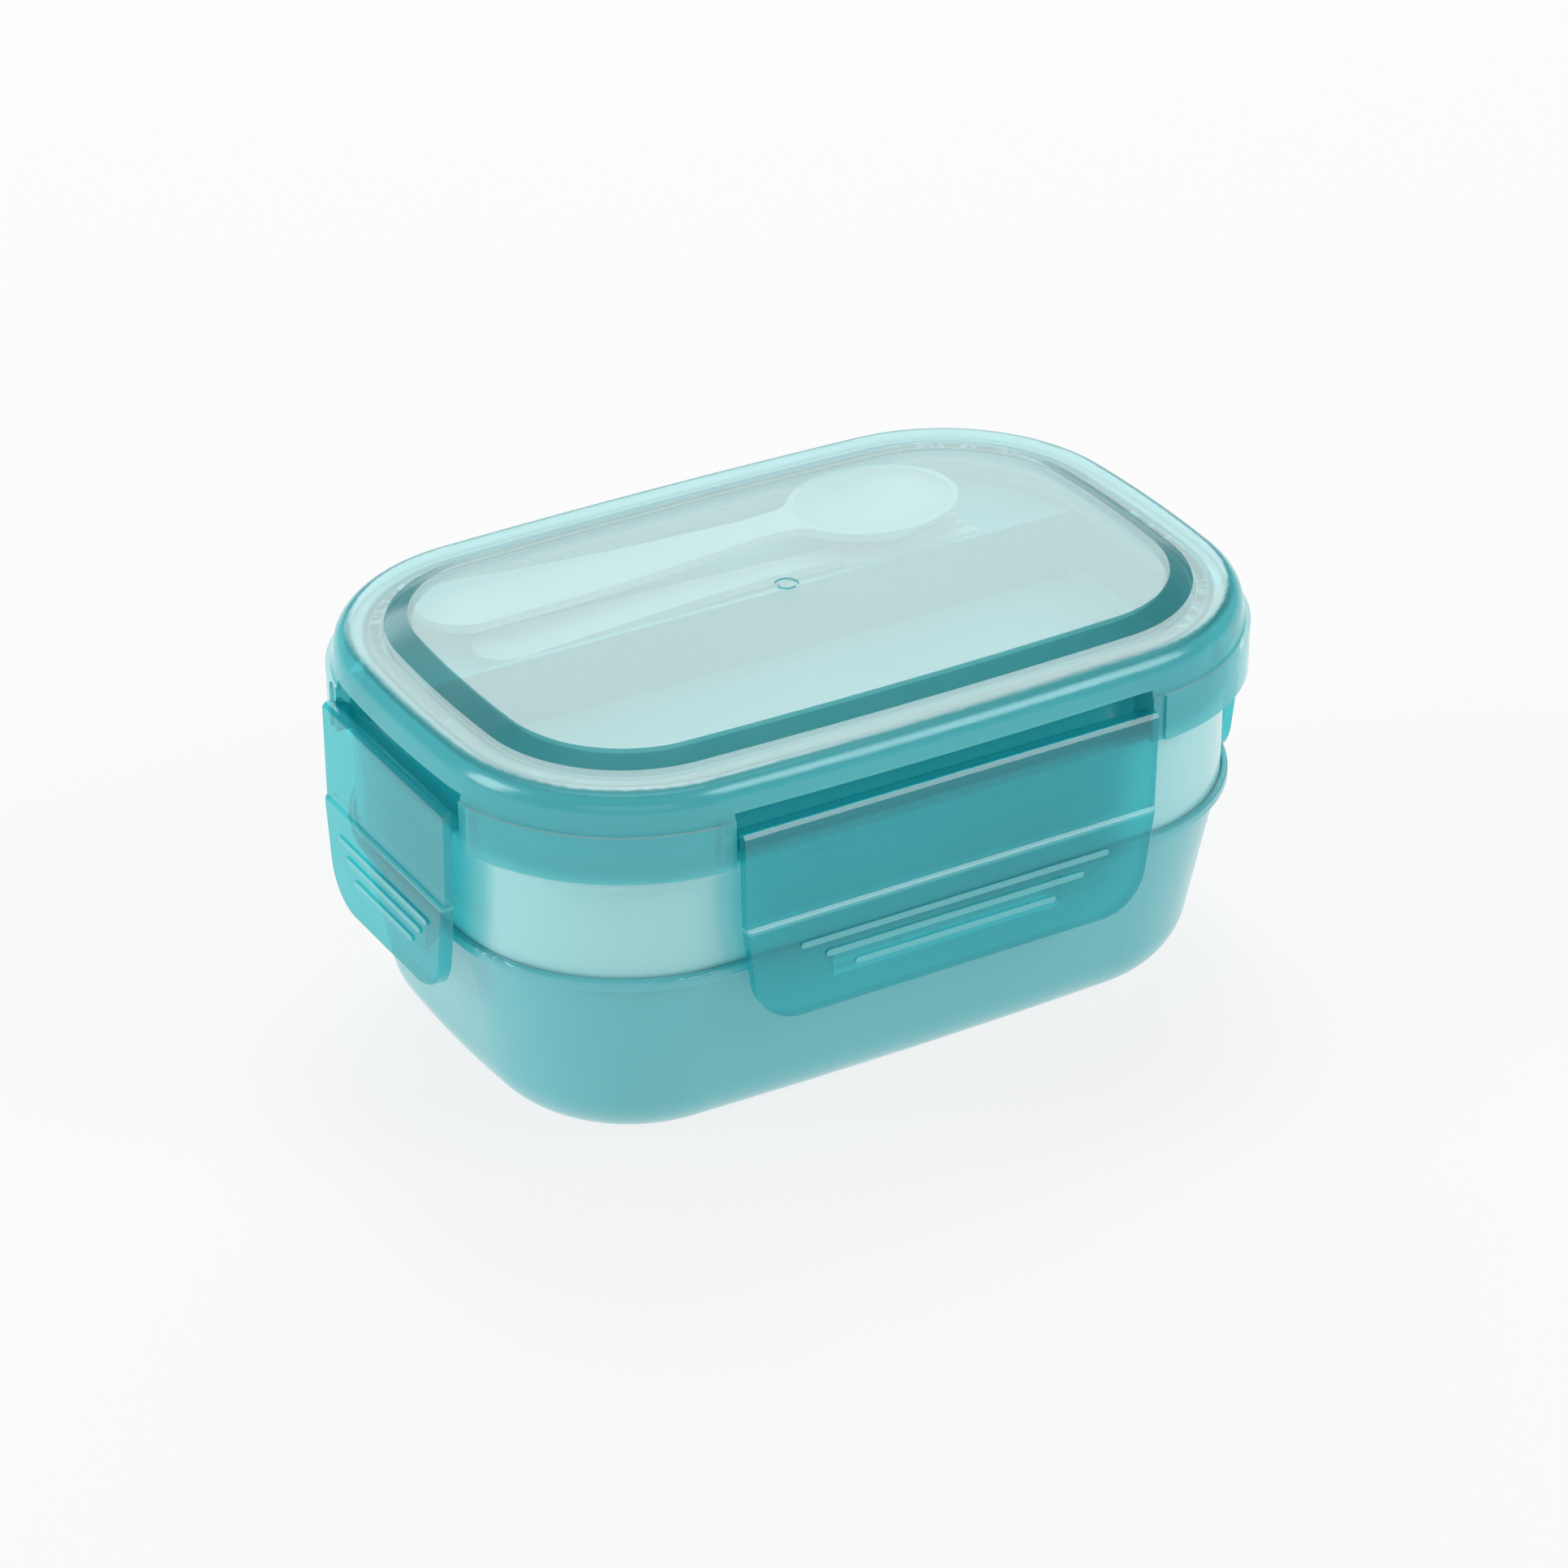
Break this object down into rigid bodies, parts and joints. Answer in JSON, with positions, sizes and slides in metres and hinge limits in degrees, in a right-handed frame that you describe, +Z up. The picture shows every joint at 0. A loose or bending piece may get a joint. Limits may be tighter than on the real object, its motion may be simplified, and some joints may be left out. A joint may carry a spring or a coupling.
{
  "type": "bento lunch box",
  "caption": "Rounded two-tier lunch box: deep lower box, upper tray, cutlery tray with spoon and fork, sealed translucent lid, hinged side latches.",
  "frame": {"origin": "on the surface it stands on, under the middle of the box", "axes": "+X along the long side, -Y is the front with a long latch, +Z up"},
  "size_m": [0.1988, 0.1352, 0.0933],
  "materials": {
    "box_plastic": "satin moulded polypropylene, mid teal, opaque",
    "tray_plastic": "satin moulded polypropylene, pale teal, opaque",
    "insert_plastic": "satin moulded polypropylene, pale teal",
    "lid_plastic": "translucent teal polypropylene, window frosted from behind",
    "latch_plastic": "translucent teal polypropylene, glossy",
    "silicone": "milky silicone, matte",
    "cutlery_plastic": "off-white polypropylene, satin"
  },
  "bodies": {
    "lower_box": {"lower_box": "box_plastic"},
    "tray": {"upper_tray": "tray_plastic", "tray_seal": "silicone"},
    "cutlery_tray": {"cutlery_tray": "insert_plastic"},
    "lid": {"lid": "lid_plastic", "lid_seal": "silicone"},
    "latch_front": {"latch_front": "latch_plastic"},
    "latch_back": {"latch_back": "latch_plastic"},
    "latch_left": {"latch_left": "latch_plastic"},
    "latch_right": {"latch_right": "latch_plastic"},
    "spoon": {"spoon": "cutlery_plastic"},
    "fork": {"fork": "cutlery_plastic"}
  },
  "joints": [
    {"name": "lid_lift", "type": "slide", "parent": "lower_box", "child": "lid", "axis": [0, 0, 1], "range_m": [0, 0.055]},
    {"name": "tray_lift", "type": "slide", "parent": "lower_box", "child": "tray", "axis": [0, 0, 1], "range_m": [0, 0.0167]},
    {"name": "cutlery_tray_lift", "type": "slide", "parent": "lower_box", "child": "cutlery_tray", "axis": [0, 0, 1], "range_m": [0, 0.0305]},
    {"name": "fork_lift", "type": "slide", "parent": "lower_box", "child": "fork", "axis": [0, 0, 1], "range_m": [0, 0.0376]},
    {"name": "spoon_lift", "type": "slide", "parent": "lower_box", "child": "spoon", "axis": [0, 0, 1], "range_m": [0, 0.0442]},
    {"name": "latch_front_hinge", "type": "hinge", "parent": "lid", "child": "latch_front", "pos_m": [0, -0.0613, 0.0773], "axis": [-1, 0, 0], "range_deg": [0, 110]},
    {"name": "latch_back_hinge", "type": "hinge", "parent": "lid", "child": "latch_back", "pos_m": [0, 0.0613, 0.0773], "axis": [1, 0, 0], "range_deg": [0, 110]},
    {"name": "latch_right_hinge", "type": "hinge", "parent": "lid", "child": "latch_right", "pos_m": [0.0932, 0, 0.0773], "axis": [0, -1, 0], "range_deg": [0, 110]},
    {"name": "latch_left_hinge", "type": "hinge", "parent": "lid", "child": "latch_left", "pos_m": [-0.0932, 0, 0.0773], "axis": [0, 1, 0], "range_deg": [0, 110]}
  ],
  "couplings": [
    {"joint": "tray_lift", "follows": "lid_lift", "ratio": 0.3},
    {"joint": "cutlery_tray_lift", "follows": "lid_lift", "ratio": 0.55},
    {"joint": "fork_lift", "follows": "lid_lift", "ratio": 0.68},
    {"joint": "spoon_lift", "follows": "lid_lift", "ratio": 0.8},
    {"joint": "latch_front_hinge", "follows": "lid_lift", "rad_per_m": 34.9},
    {"joint": "latch_back_hinge", "follows": "lid_lift", "rad_per_m": 34.9},
    {"joint": "latch_right_hinge", "follows": "lid_lift", "rad_per_m": 34.9},
    {"joint": "latch_left_hinge", "follows": "lid_lift", "rad_per_m": 34.9}
  ]
}
